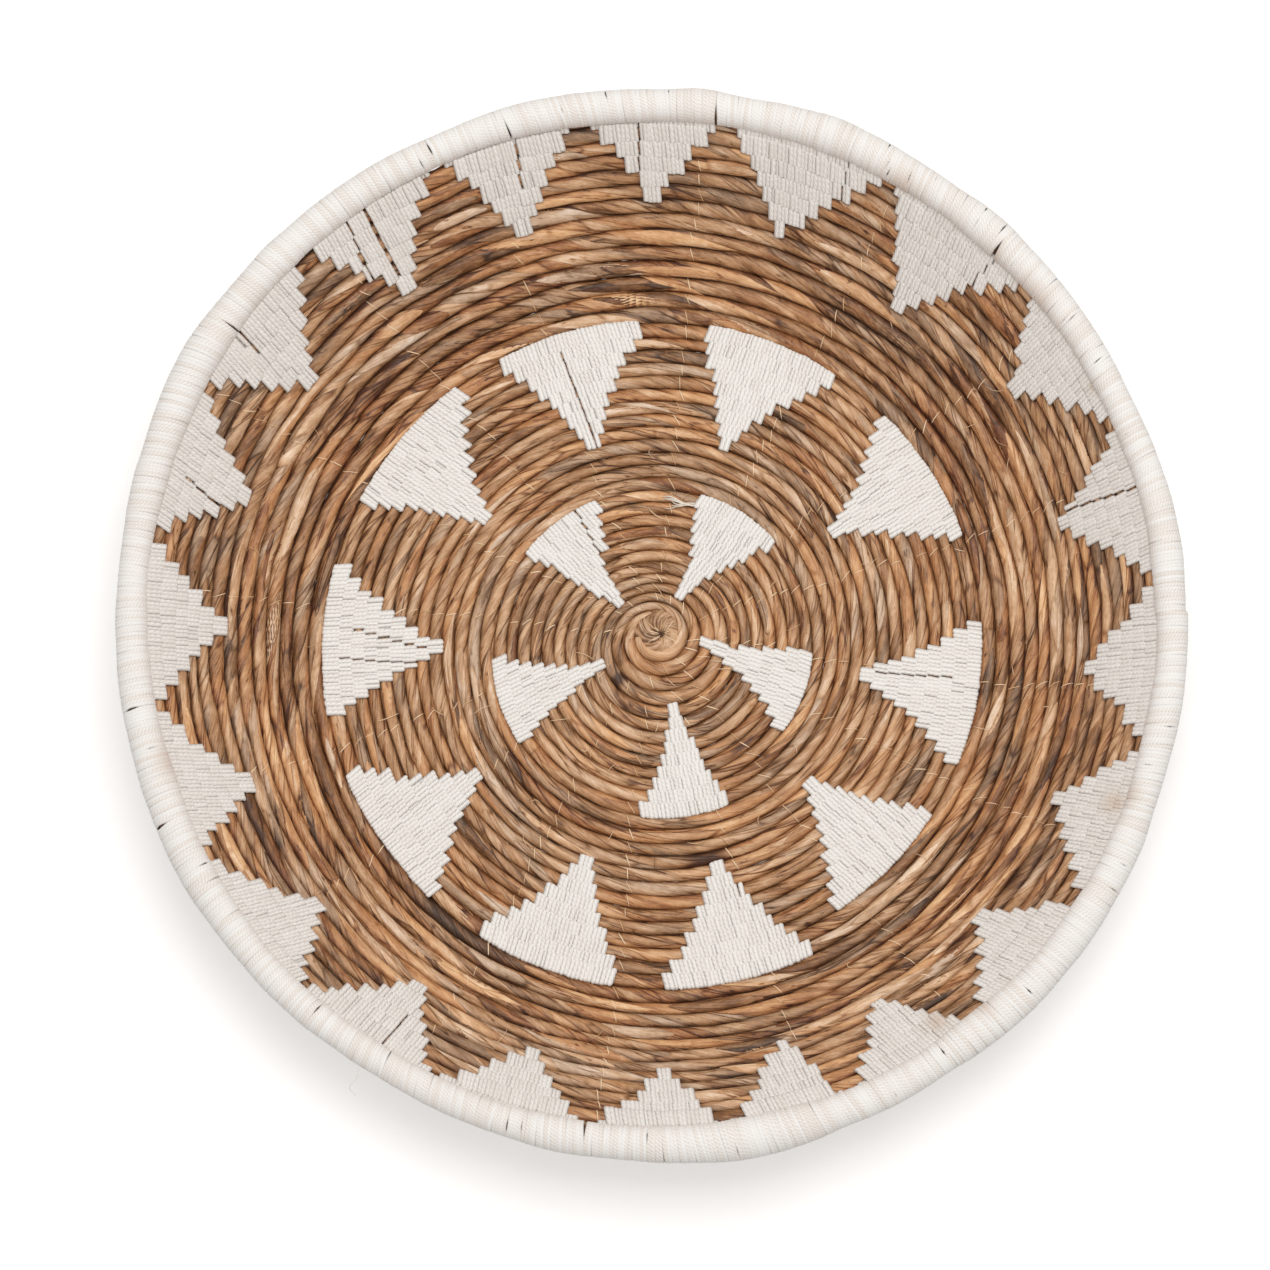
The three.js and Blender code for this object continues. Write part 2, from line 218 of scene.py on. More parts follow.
# The coiled ropes
# Two ropes of twisted leaf strips, wound side by side out from the centre knot and sewn row to row,
# so each turn adds two rows. Each is pieced out of seven lengths: a flat floor, a bend, a straight wall.
millimetre = 0.001
full_turn = 2 * math.pi
outer_diameter = 450
rim_thickness = 14
floor_radius = 133
bend_radius = 81
wall_slope = math.radians(40)
oval_amount = 0.01
oval_angle = math.radians(120)
rope_count = 2
inner_pitch = 5.14
floor_pitch = 5.56
wall_pitch = 6.45
inner_rows = 12
floor_rows = 25
inner_distance = 65
floor_distance = inner_distance + (floor_rows - inner_rows) * floor_pitch
half_floor_rope = 2.5
bend_length = bend_radius * wall_slope
rim_radius = (outer_diameter - rim_thickness) / 2


def stacked(*parts):
    """Puts numbers, or arrays of any shapes that fit, side by side as points or triples."""
    return np.stack(np.broadcast_arrays(*parts), -1)


def unit(vectors):
    return vectors / np.linalg.norm(vectors, axis=-1, keepdims=True)


def evenly_round(count):
    """So many angles, evenly spaced round a full turn."""
    return np.arange(count) * full_turn / count


def half_section(distance):
    """The bowl's radius, rise and slope at a distance out from the centre along the rope's middle."""
    bend = np.clip((distance - floor_radius) / bend_radius, 0, wall_slope)
    straight = np.maximum(0, distance - floor_radius - bend_length)
    radius = np.minimum(distance, floor_radius) + bend_radius * np.sin(bend) + straight * np.cos(bend)
    rise = bend_radius * (1 - np.cos(bend)) + straight * np.sin(bend)
    return radius, rise, bend


wall_start = half_section(floor_radius + bend_length)[0]
rim_distance = floor_radius + bend_length + (rim_radius - wall_start) / math.cos(wall_slope)
rim_rise = half_section(rim_distance)[1]
rim_tuck = 1.7
edge_distance = rim_distance - rim_thickness / 2 + rim_tuck
last_row = floor_rows + (edge_distance - floor_distance) / wall_pitch
end_trim = 2.0
rope_end = last_row - end_trim / wall_pitch
rope_start = 0.1


def around(angle, radius, depth):
    """A point at an angle round the basket, which grows slightly oval towards its rim."""
    reach = np.minimum(radius / rim_radius, 1)
    oval = 1 + oval_amount * reach ** 2 * np.cos(2 * (angle - oval_angle))
    across, up = radius * oval * np.cos(angle), radius * oval * np.sin(angle)
    return stacked(across, depth, up)


def on_bowl(angle, distance, proud):
    """A point over the bowl, proud of the rope's middle by so much on the viewer's side."""
    radius, rise, slope = half_section(distance)
    depth = -half_floor_rope - rise - proud * np.cos(slope)
    return around(angle, radius - proud * np.sin(slope), depth)


def wander(seed, places, spacing):
    """A smooth random run from -1 to 1 along the places, which turns about once in each spacing."""
    picks = np.random.default_rng(seed).uniform(-1, 1, 5003)
    steps = np.asarray(places, float) / spacing
    whole = np.floor(steps).astype(int)
    part = steps - whole
    ease = part * part * (3 - 2 * part)
    return picks[whole % len(picks)] * (1 - ease) + picks[(whole + 1) % len(picks)] * ease


def soft_step(value, low, high):
    part = np.clip((np.asarray(value, float) - low) / (high - low), 0, 1)
    return part * part * (3 - 2 * part)


row_table = np.linspace(0, 40, 8001)
plain_grooves = np.minimum(
    inner_distance + np.minimum(row_table - inner_rows, 0) * inner_pitch
    + np.clip(row_table - inner_rows, 0, floor_rows - inner_rows) * floor_pitch
    + np.maximum(row_table - floor_rows, 0) * wall_pitch,
    edge_distance,
)
angle_step = full_turn / rope_count * np.gradient(row_table)
length_table = np.cumsum(angle_step * half_section(plain_grooves + floor_pitch / 2)[0])


def rope_length_at(row):
    return np.interp(row, row_table, length_table)


def row_size(row):
    """Half of a usual row's width, in millimetres."""
    return np.interp(row, (1, inner_rows, floor_rows, floor_rows + 3), (
        inner_pitch, inner_pitch, floor_pitch, wall_pitch,
    )) / 2


drift_angle = math.radians(288)
drift_reach = 6.3
drift_start = 5
drift_rise = 25
# How far the rows waver by hand: a little near the knot, more on the middle field, most on the wall.
waver_at_centre = 0.32
waver_on_field = 0.18
waver_on_wall = 0.75
long_bend = 27
short_bend = 11


def groove_at(row, angle):
    """The groove that starts a row: drawn off the knot on the floor, and wavering by hand."""
    plain = np.interp(row, row_table, plain_grooves)
    fading = (edge_distance - plain) / (edge_distance - floor_distance)
    drift = drift_reach * np.clip(np.minimum((plain - drift_start) / drift_rise, fading), 0, 1)
    places = rope_length_at(row)
    odd_line = np.round(row - angle * rope_count / full_turn).astype(int) % rope_count
    waver = waver_at_centre + waver_on_field * soft_step(row, 12, 22)
    waver = waver + waver_on_wall * soft_step(row, 25, 31)
    fade = soft_step(row, 1, 3) * (1 - soft_step(row, last_row - 1.2, last_row))
    own_places = places + 900 * odd_line
    bends = 0.7 * wander(11, own_places, long_bend) + 0.3 * wander(12, own_places, short_bend)
    return plain + drift * np.cos(angle - drift_angle) + waver * fade * bends


def strands(centres, sideways, half_width, half_thickness, angles, swell=1.0, closed=True):
    """Sweeps a section along many paths at once: gives the points, the faces and the section angles."""
    count, rings = centres.shape[:2]
    if closed:
        tangent = np.roll(centres, -1, 1) - np.roll(centres, 1, 1)
    else:
        tangent = np.gradient(centres, axis=1)
    tangent = unit(tangent)
    up = unit(np.cross(tangent, sideways))
    side = np.cross(up, tangent)
    angles = np.broadcast_to(angles, (count, rings, np.shape(angles)[-1]))
    sides = angles.shape[-1]
    wide = (np.broadcast_to(half_width, (count, rings))[..., None] * np.cos(angles) * swell)[..., None]
    thick = (np.broadcast_to(half_thickness, (count, rings))[..., None] * np.sin(angles) * swell)[..., None]
    points = centres[:, :, None] + side[:, :, None] * wide + up[:, :, None] * thick
    index = np.arange(count * rings * sides).reshape(count, rings, sides)
    ahead = np.roll(index, -1, 1) if closed else index[:, 1:]
    here = index if closed else index[:, :-1]
    quads = stacked(here, np.roll(here, -1, 2), np.roll(ahead, -1, 2), ahead)
    faces = quads.reshape(-1, 4).tolist()
    if not closed:
        faces += index[:, 0, ::-1].tolist() + index[:, -1].tolist()
    return points, faces, angles


def set_attributes(mesh, shape, **attributes):
    """Spreads values over a mesh's points: triples for lay and ply, one number for the others."""
    for name, values in attributes.items():
        if name in ("lay", "ply"):
            kind, field, full_shape = "FLOAT_VECTOR", "vector", (*shape, 3)
        else:
            kind, field, full_shape = "FLOAT", "value", shape
        values = np.broadcast_to(values, full_shape).astype(np.float32).ravel()
        mesh.attributes.new(name, kind, "POINT").data.foreach_set(field, values)


def add_mesh(name, points, faces, material, **attributes):
    """Makes one smooth piece, in metres, with its attributes on its points."""
    mesh = bpy.data.meshes.new(name)
    mesh.from_pydata((points.reshape(-1, 3) * millimetre).tolist(), [], faces)
    set_attributes(mesh, points.shape[:-1], **attributes)
    mesh.shade_smooth()
    mesh.materials.append(material)
    piece = bpy.data.objects.new(name, mesh)
    bpy.context.scene.collection.objects.link(piece)
    return piece


def attribute(shade, name, output):
    return shade.add("ShaderNodeAttribute", {"attribute_name": name}, {}, output)


# Dried leaf: folded strips laid along the rope's twist, tan and brown, with painted shade in the grooves,
# creases and seams between strips. Each hue has five evenly spaced colours, from the darkest to the palest.
natural_leaf = (70, 38, 17), (127, 84, 49), (178, 133, 94), (215, 176, 140), (242, 219, 196)
orange_leaf = (74, 35, 16), (134, 82, 46), (184, 129, 84), (219, 170, 122), (244, 208, 166)
grey_leaf = (62, 41, 26), (114, 84, 60), (164, 131, 103), (204, 175, 149), (236, 217, 200)


def leaf_material(name, painted_shade, seed):
    material, shade = new_material(name)
    lay = attribute(shade, "lay", "Vector")
    tone, hue, groove, seam = (attribute(shade, name, "Fac") for name in ("tone", "hue", "groove", "seam"))
    seam = seam.eased(0.5, 1.0)
    strips = lay.scaled(0.3, 0.042)
    moved = shade.add("ShaderNodeVectorMath", {"operation": "ADD"}, {0: strips, 1: (seed, seed, seed)})
    cells = shade.add("ShaderNodeTexVoronoi", {"feature": "F1"}, {"Vector": moved, "Scale": 1}, "Color")
    cell = shade.add("ShaderNodeSeparateColor", {}, {0: cells})
    cell_hue = shade.add("ShaderNodeSeparateColor", {}, {0: cells}, 1)
    edges = shade.add(
        "ShaderNodeTexVoronoi", {"feature": "DISTANCE_TO_EDGE"}, {"Vector": moved, "Scale": 1},
    )
    creased = lay.scaled(0.2, 0.06).noise(1, 0.5).eased(0.36, 0.66)
    crease = (1 - edges.eased(0.0, 0.09)) * creased
    fibre = lay.scaled(1.9, 0.12).noise(3, 0.6)
    fine = lay.scaled(2.6, 0.4).noise(3, 0.65)
    patch = lay.scaled(0.3, 0.1).noise(2, 0.5)
    blotch = lay.scaled(0.5, 0.16).noise(2, 0.6).eased(0.64, 0.78)
    # Painted shade: the level drops along the creases, in the seams between strips and in the grooves.
    level = (
        tone
        + 0.2 * (cell - 0.5)
        + 0.42 * (fibre - 0.5)
        + 0.55 * (fine - 0.5)
        + 0.6 * (patch - 0.5)
        - 0.3 * crease
        - 0.22 * seam * (0.35 + creased)
        - 0.4 * blotch
        - 0.36 * groove
        - painted_shade
    )
    natural, orange, grey = (level.ramp(colours) for colours in (natural_leaf, orange_leaf, grey_leaf))
    warmth = hue + 0.45 * (cell_hue - 0.5)
    colour = warmth.eased(0.5, 0.95).mixed(warmth.eased(0.05, 0.5).mixed(grey, natural), orange)
    height = fibre * 0.4 + fine * 0.15 + patch * 0.5 + cell * 0.15 - crease * 0.4
    dull = 0.44 + 0.25 * groove + 0.3 * (fibre - 0.5)
    return with_surface(material, shade, 0.7, 0.0007, height, {
        "Base Color": colour, "Roughness": dull, "Specular IOR Level": 0.4,
    })


floor_leaf = leaf_material("dried_leaf_floor", 0.0, 3.1)
# The wall's copy of the leaf is painted a little darker than the floor's, as shade on the bowl's wall.
wall_leaf = leaf_material("dried_leaf_wall", 0.02, 8.6)
strip_count = 4
strip_sides = 4
rope_sides = strip_count * strip_sides
ring_step = 1.5
strip_valley = np.tile((1.0, 0.0, 0.0, 0.0), strip_count)
strip_crown = np.tile((0.0, 0.5, 1.0, 0.5), strip_count)
# Stretches of a rope that are paler or darker: which rope, from row, to row, and by how much.
pale_runs = (
    (1, 29.50, 29.72, 0.22), (0, 30.76, 31.00, 0.2), (1, 30.00, 30.16, 0.18), (0, 31.10, 31.32, 0.22),
    (1, 30.24, 30.44, 0.22), (0, 33.36, 33.56, 0.24), (0, 31.52, 31.70, 0.2), (0, 0.10, 1.80, 0.1),
    (0, 27.80, 28.10, 0.16), (1, 28.10, 28.40, 0.14),
)
dark_runs = (
    (1, 2.00, 2.28, 0.22), (1, 14.20, 14.44, 0.16), (1, 26.24, 26.48, 0.2), (0, 28.30, 28.60, 0.16),
    (1, 25.80, 26.00, 0.16), (0, 28.70, 28.92, 0.18), (0, 33.10, 33.32, 0.24), (1, 23.40, 23.54, 0.16),
    (1, 32.72, 32.94, 0.16), (0, 9.40, 9.60, 0.14), (1, 16.53, 16.62, 0.6), (0, 3.25, 3.34, 0.55),
)


def run_at(runs, rope, rows, edge):
    """How far the special runs of a rope raise its tone at its rows."""
    total = np.zeros(len(rows))
    for run_rope, low, high, amount in runs:
        if run_rope == rope:
            total += amount * soft_step(rows, low, low + edge) * (1 - soft_step(rows, high - edge, high))
    return total


# Dark gaps between the rows, painted as shade, and dark spots: across and up from the coil's middle,
# and how dark.
gap_shade_and_spots = (
    (118, -112, 0.42), (127, -135, 0.46), (150, -109, 0.44), (126, 108, 0.42), (156, 118, 0.38),
    (140, 128, 0.4), (-125, 138, 0.4), (-136, 129, 0.36), (-119, 129, 0.4), (-114, 113, 0.36),
    (-60, -150, 0.32), (96, -148, 0.42), (168, -60, 0.36), (-150, -96, 0.32), (60, 160, 0.32),
)
spot_across = 1.9
spot_along = 8.0


def gap_shade_and_spots_at(points):
    """How much darker the painted shade of the gaps, and the spots, make the leaf at the points."""
    total = np.zeros(points.shape[:-1])
    for across, up, amount in gap_shade_and_spots:
        away = np.hypot(across, up)
        beyond = (points[..., 0] * across + points[..., 2] * up) / away - away
        aside = (points[..., 2] * across - points[..., 0] * up) / away
        total += amount * np.exp(-(beyond / spot_across) ** 2 - (aside / spot_along) ** 2)
    return total


splice_gap = 0.03
rope_fullness = 1.06
thinnest_half_width = 0.7
twist_usual = 0.1
twist_change = 0.06
lay_radius = 2.7
tone_by_row = (1, 4, 14, 20, 26, 32), (0.66, 0.575, 0.575, 0.58, 0.505, 0.57)
hue_by_row = (1, 14, 26, 34), (0.46, 0.5, 0.62, 0.5)


def add_rope(node, rope, start, end, seed, material):
    """One length of a rope, from one row to another: four strips twisted together."""
    first, last = rope_length_at(start) + splice_gap, rope_length_at(end) - splice_gap
    rings = int((last - first) / ring_step)
    places = np.linspace(first, last, rings)
    rows = np.interp(places, length_table, row_table)
    angle = (rows - rope) * full_turn / rope_count
    inner, outer = groove_at(rows, angle), groove_at(rows + 1, angle)
    lumps = wander(seed + 6, places, 8)
    half_width = np.maximum((outer - inner) / 2 * (rope_fullness + 0.05 * lumps), thinnest_half_width)
    plump = 0.94 + 0.05 * wander(seed + 1, places, 16) + 0.04 * lumps
    half_depth = np.minimum(row_size(rows) * plump, half_width * 1.15)
    middle = (inner + outer) / 2
    centres = on_bowl(angle, middle, 0.0)[None]
    outwards = (on_bowl(angle, middle + 0.5, 0.0) - on_bowl(angle, middle - 0.5, 0.0))[None]
    twist_rate = twist_usual + twist_change * wander(seed + 2, length_table, 45)
    twist = np.interp(places, length_table, np.cumsum(twist_rate * np.gradient(length_table)))
    column = evenly_round(rope_sides)
    angles = (twist[:, None] + column)[None]
    strip = np.arange(rope_sides) // strip_sides

    def on_strips(first_seed, spacing):
        """A wandering run of its own for each of the four strips."""
        return np.stack([wander(seed + first_seed + n, places, spacing) for n in strip], -1)

    bulge, fold, strip_tone = on_strips(10, 19), on_strips(40, 15), on_strips(20, 38)
    swell = (0.99 - (0.035 + 0.035 * fold) * strip_valley + 0.02 * strip_crown + 0.05 * bulge)[None]
    points, faces, angles = strands(centres, outwards, half_width, half_depth, angles, swell, closed=False)
    lay = stacked(
        lay_radius * np.cos(column), lay_radius * np.sin(column), places[:, None] + 7000 * rope,
    )
    run = 0.6 * wander(seed + 3, places, 70) + 0.4 * wander(seed + 4, places, 24)
    special = run_at(pale_runs, rope, rows, 0.08) - run_at(dark_runs, rope, rows, 0.04)
    base_tone = np.interp(rows, *tone_by_row)
    tone = (base_tone + 0.13 * run + special)[:, None] + 0.09 * strip_tone
    tone = tone - gap_shade_and_spots_at(points)
    base_hue = np.interp(rows, *hue_by_row) + 0.32 * wander(seed + 5, places, 60)
    hue = base_hue[:, None] + 0.2 * np.roll(strip_tone, 4, 1)
    # Painted shade in the grooves between rows, deeper and patchy on the wall's rows.
    groove = np.abs(np.cos(angles)) ** 4
    groove *= (1 + soft_step(rows, 24, 28) * (0.4 + 0.6 * wander(seed + 7, places, 24)))[:, None]
    piece = add_mesh(
        node + "_twisted", points, faces, material,
        lay=lay, tone=tone, hue=np.clip(hue, 0, 1), groove=groove, seam=strip_valley,
    )
    for cut_end in piece.data.polygons[-2:]:
        cut_end.use_smooth = False
    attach(piece, "root")
    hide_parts(node)


# The lengths of a rope, each with the row that it ends on.
rope_lengths = (
    ("rope_start_curl", 5), ("rope_inner_field", 12.25), ("rope_plain_band", 16.5),
    ("rope_middle_field", floor_rows), ("rope_turn_up", 32), ("rope_wall", 37),
    ("rope_tapered_end", rope_end),
)
for rope, prefix in enumerate(("", "second_")):
    start = rope_start
    for node, end in rope_lengths:
        slot, leaf = ("wall_rope", wall_leaf) if start >= floor_rows else ("floor_rope", floor_leaf)
        add_rope(prefix + node, rope, start, end, 100 + 100 * rope, leaf)
        start = end


# The single leaves
# The leaves that were laid in last stand a little proud of the ropes: each slants over its row, in a
# colour of its own, and ends in a point. The wall's rows, which were made last, have the most.
leaf_steps = 17
leaf_columns = 7
leaf_lengths = (18, 60)
leaf_spreads = (0.4, 1.15)
leaf_tone = 0.54
leaf_run = np.linspace(0, 1, leaf_steps)
leaf_side = np.linspace(-1, 1, leaf_columns)


def add_single_leaves(name, count, low_row, high_row, seed, size, material):
    chance = np.random.default_rng(seed)
    leaves, faces = [], []
    for leaf in range(count):
        rope = chance.integers(rope_count)
        length = chance.uniform(*leaf_lengths) * size
        places = rope_length_at(chance.uniform(low_row, high_row)) + length * leaf_run
        rows = np.interp(places, length_table, row_table)
        angle = (rows - rope) * full_turn / rope_count
        inner, outer = groove_at(rows, angle), groove_at(rows + 1, angle)
        turned = chance.uniform(0.01, 0.09) * length
        crown = math.pi / 2 + chance.uniform(-0.5, 0.5) - turned * (leaf_run - 0.5)
        widest = size * chance.uniform(*leaf_spreads)
        spread = widest * np.sin(math.pi * (0.02 + 0.96 * leaf_run)) ** chance.uniform(0.5, 1.2)
        section = crown[:, None] + spread[:, None] * leaf_side
        proud = 1.03 + chance.uniform(0.01, 0.07) * (1 - leaf_side ** 2)
        beside = ((inner + outer) / 2)[:, None] + ((outer - inner) / 2)[:, None] * np.cos(section) * proud
        above = 0.98 * row_size(rows)[:, None] * np.sin(section) * proud
        points = on_bowl(angle[:, None], beside, above)
        lay = stacked(lay_radius * spread[:, None] * leaf_side, 40.0 + leaf, places[:, None])
        tone = leaf_tone + size * chance.uniform(-0.22, 0.24) - gap_shade_and_spots_at(points)
        hue = np.full(section.shape, chance.uniform(0.1, 1.0))
        # The leaf's sides take painted groove shade.
        leaves.append((points, lay, tone, hue, np.abs(np.cos(section)) ** 4))
        index = np.arange(section.size).reshape(section.shape) + leaf * section.size
        quads = stacked(index[:-1, :-1], index[:-1, 1:], index[1:, 1:], index[1:, :-1])
        faces += quads.reshape(-1, 4).tolist()
    points, lay, tone, hue, groove = (np.concatenate(part) for part in zip(*leaves))
    # Painted shade along the leaf's edges.
    seam = np.abs(leaf_side) ** 8
    piece = add_mesh(name, points, faces, material, lay=lay, tone=tone, hue=hue, groove=groove, seam=seam)
    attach(piece, "root")


add_single_leaves("single_leaves_floor", 150, 4, 24, 51, 1.0, floor_leaf)
add_single_leaves("single_leaves_wall", 330, 24, 37, 52, 1.2, wall_leaf)


# The centre knot
# The rope's starting curl, pulled tight by the first stitches into a small puckered button, with a
# dimple a little to the right of the coil's centre, from which folds and stitches fan out.
knot_radius = 9.8
knot_depth = 5.0
knot_middle = (1.2, 0.1)
knot_stitches = 19
knot_folds = 17
dimple_place = (3.2, -0.8)
dimple_width = 2.4
dimple_depth = 2.3
knot_crown = 0.9
knot_fall = 1.9
pucker_height = 0.24
knot_insets = 18
inset_step = 0.5


def knot_rise(across, up):
    """How far the button stands from the floor rope's back at a point, in millimetres."""
    out = np.hypot(across - knot_middle[0], up - knot_middle[1]) / knot_radius
    away = np.hypot(across - dimple_place[0], up - dimple_place[1])
    turn = np.arctan2(up - dimple_place[1], across - dimple_place[0])
    pucker = np.cos(knot_folds * turn + 0.9 * away) * np.exp(-((away - 3.2) / 2.2) ** 2)
    return (
        knot_depth + knot_crown - knot_fall * np.minimum(out, 1.05) ** 3
        - dimple_depth * np.exp(-(away / dimple_width) ** 2) + pucker_height * pucker
    )


for thing in list(bpy.context.selected_objects):
    thing.select_set(False)
bpy.ops.mesh.primitive_cylinder_add(
    vertices=64, radius=knot_radius * millimetre, depth=knot_depth * millimetre, end_fill_type="NGON",
    location=(knot_middle[0] * millimetre, -knot_depth / 2 * millimetre, knot_middle[1] * millimetre),
    rotation=(math.pi / 2, 0, 0),
)
knot = bpy.context.object
knot.name = "centre_knot_puckered"
bpy.ops.object.transform_apply(location=True, rotation=True, scale=True)
bpy.ops.object.mode_set(mode="EDIT")
bpy.ops.mesh.select_all(action="DESELECT")
bpy.ops.object.mode_set(mode="OBJECT")
for face in knot.data.polygons:
    face.select = face.normal.y < -0.9
bpy.ops.object.mode_set(mode="EDIT")
for inset in range(knot_insets):
    bpy.ops.mesh.inset(thickness=inset_step * millimetre, depth=0)
bpy.ops.object.mode_set(mode="OBJECT")
for point in knot.data.vertices:
    if point.co.y < -knot_depth / 2 * millimetre:
        point.co.y = -knot_rise(point.co.x / millimetre, point.co.z / millimetre) * millimetre
knot_rounding = knot.modifiers.new("rounding", "SUBSURF")
knot_rounding.levels = 1
knot_rounding.render_levels = 1
bpy.ops.object.modifier_apply(modifier=knot_rounding.name)
knot.data.shade_smooth()
knot_points = np.array([point.co for point in knot.data.vertices]) / millimetre
from_dimple = knot_points[:, ::2] - dimple_place
dimple_away = np.hypot(*from_dimple.T)
dimple_turn = np.arctan2(from_dimple[:, 1], from_dimple[:, 0]) + 0.12 * dimple_away
knot_lay = stacked(3 * np.cos(dimple_turn), 3 * np.sin(dimple_turn), 2 * dimple_away)
# Painted shade: the folds are darker, most of all left of the dimple, and the dimple is painted darker and
# greyer.
crumple = 0.3 * wander(48, 9 + 3 * dimple_turn, 1)
on_left = np.clip(0.3 - from_dimple[:, 0] / 5, 0, 1)
knot_fold_shade = (0.12 + 0.4 * on_left) * (1 - np.cos(knot_folds * (dimple_turn + crumple)))
dimple_shade = np.exp(-(from_dimple[:, 0] / 2.6) ** 2 - (from_dimple[:, 1] / 1.8) ** 2)
set_attributes(
    knot.data, knot_fold_shade.shape, lay=knot_lay, tone=0.66 - 0.5 * dimple_shade,
    hue=0.4 - 0.35 * dimple_shade, groove=knot_fold_shade, seam=0,
)
knot.data.materials.clear()
knot.data.materials.append(floor_leaf)
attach(knot, "root")
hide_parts("centre_knot")


# The yarn figures
# Triangles of off-white yarn in three rings. Each strand is wrapped round one row of the coil, side
# by side with its neighbours and in line with the strands of the row before, so the sides step.
def yarn_material(name, colour, shade_colour):
    material, shade = new_material(name)
    ply = attribute(shade, "ply", "Vector")
    tone = attribute(shade, "tone", "Fac")
    twisted = ply.add("ShaderNodeTexWave", {
        "wave_type": "BANDS", "bands_direction": "DIAGONAL", "wave_profile": "SIN",
    }, {"Vector": ply, "Scale": 0.42, "Distortion": 1.6, "Detail": 1.5, "Detail Scale": 1.2}, "Fac")
    fuzz = ply.scaled(2.4, 1.1).noise(3, 0.65)
    level = tone + 0.3 * (fuzz - 0.5) + 0.42 * (twisted - 0.5)
    base = level.eased(0.15, 0.75).mixed(shade_colour, colour)
    stain = attribute(shade, "stain", "Fac")
    base = stain.mixed(base, paint(206, 184, 166))
    return with_surface(material, shade, 0.3, 0.0003, fuzz * 0.6 + twisted * 0.9, {
        "Base Color": base, "Roughness": 0.92, "Specular IOR Level": 0.2,
        "Sheen Weight": 0.25, "Sheen Roughness": 0.5,
    })


figure_yarn = yarn_material("off_white_yarn", paint(240, 237, 233), paint(224, 217, 211))
strand_width = 1.75
strand_half_thickness = 0.25
wrap_across = np.array((1, 1, 0.94, 0.78, 0.3, -0.3, -0.78, -0.94, -1, -1, -0.9, -0.4, 0.4, 0.9))
wrap_height = np.array((0, 0.84, 0.98, 1.0, 1.01, 1.01, 1.0, 0.98, 0.84, 0, -0.7, -0.98, -0.98, -0.7))
wrap_slimness = np.array((0.34, 0.5, 0.76, 0.98, 1, 1, 0.98, 0.76, 0.5, 0.34, 0.8, 0.9, 0.9, 0.8))
wrap_rings = len(wrap_across)
wrap_sides = 5
wrap_overlap = 0.4
wrap_section = evenly_round(wrap_sides) + 0.3 * math.pi
wrap_step = 1.3
tip_width = 2.4
ragged_on_wall = 0.7
ragged_on_floor = 0.35
strand_clearance = 0.45
thinnest_row = 1.6


def figure_limits(figure):
    """The angles between which each row of a figure is wrapped, from its tip to its base."""
    tip_row = figure["first_row"] + figure["tip"] * rope_count / full_turn + 0.5
    tip_radius = half_section(groove_at(tip_row, figure["tip"]))[0]
    tip_half = tip_width / 2 / tip_radius
    spread = (np.arange(figure["rows"]) + 0.5) / figure["rows"]
    starts = figure["tip"] - tip_half + (figure["start"] - figure["tip"] + tip_half) * spread
    ends = figure["tip"] + tip_half + (figure["end"] - figure["tip"] - tip_half) * spread
    return starts, ends


def figure_from(start, end, tip, first_row, rows, slant=0.0, stagger=0.5):
    turned = {"start": math.radians(start), "end": math.radians(end), "tip": math.radians(tip)}
    return {**turned, "first_row": first_row, "rows": rows, "slant": slant, "stagger": stagger}


def figure_strands(figure, chance):
    """Where a figure's strands lie: its axis, how far beside it, and on which row."""
    axis = (figure["start"] + figure["end"]) / 2
    starts, ends = figure_limits(figure)
    shift = chance.uniform(0, 1)
    sway = chance.uniform(-0.1, 0.1, 99)
    offsets, lines = [], []
    for row in range(figure["rows"]):
        row_here = figure["first_row"] + row + axis * rope_count / full_turn
        radius = half_section((groove_at(row_here, axis) + groove_at(row_here + 1, axis)) / 2)[0]
        shift += figure["stagger"] + chance.uniform(-0.2, 0.2)
        shift -= figure["slant"] * floor_pitch / strand_width
        low = radius * math.sin(starts[row] - axis) / strand_width + shift
        high = radius * math.sin(ends[row] - axis) / strand_width + shift
        ragged = ragged_on_wall if figure["first_row"] > floor_rows else ragged_on_floor
        first = round(low + chance.uniform(-ragged, ragged))
        last = max(first + 1, round(high + chance.uniform(-ragged, ragged)) - 1)
        for column in range(first, last + 1):
            offsets.append((column + 0.5 - shift) * strand_width + sway[column])
            lines.append(figure["first_row"] + row)
    return axis, np.array(offsets), np.array(lines, float)


# Slits between strands: angle and radius of the inner end, the same of the outer end, and the width.
slit_reach = 2.5
slit_limit = 8
slit_side_width = 0.74
yarn_slits = (
    (145.3, 203, 144.2, 222, 1.5), (125.6, 188, 124.4, 222, 2.2), (129.0, 188, 126.8, 216, 1.2),
    (164.8, 190, 162.8, 206, 1.6), (15.2, 187, 14.6, 214, 1.6), (106.5, 196, 105.2, 218, 1.8),
    (91.7, 188, 91.2, 218, 1.2), (107.0, 80, 108.4, 128, 1.1), (184.0, 96, 178.5, 132, 1.3),
    (187.0, 104, 184.5, 134, 1.0), (126.0, 30, 122.5, 62, 1.1), (212.0, 92, 210.0, 128, 1.2),
    (47.0, 190, 46.0, 214, 1.1), (66.0, 200, 66.6, 220, 1.0), (286.0, 84, 288.0, 120, 0.9),
    (349.0, 95, 351.0, 130, 1.0), (238.5, 196, 238.0, 220, 1.1), (208.0, 200, 207.5, 222, 1.1),
)
# Faint brown stains: across and up from the coil's middle, and the size.
stain_strength = 0.7
yarn_stains = ((192, -79, 5.0), (118, -169, 5.0), (-151, -152, 3.0), (186, 96, 2.5))


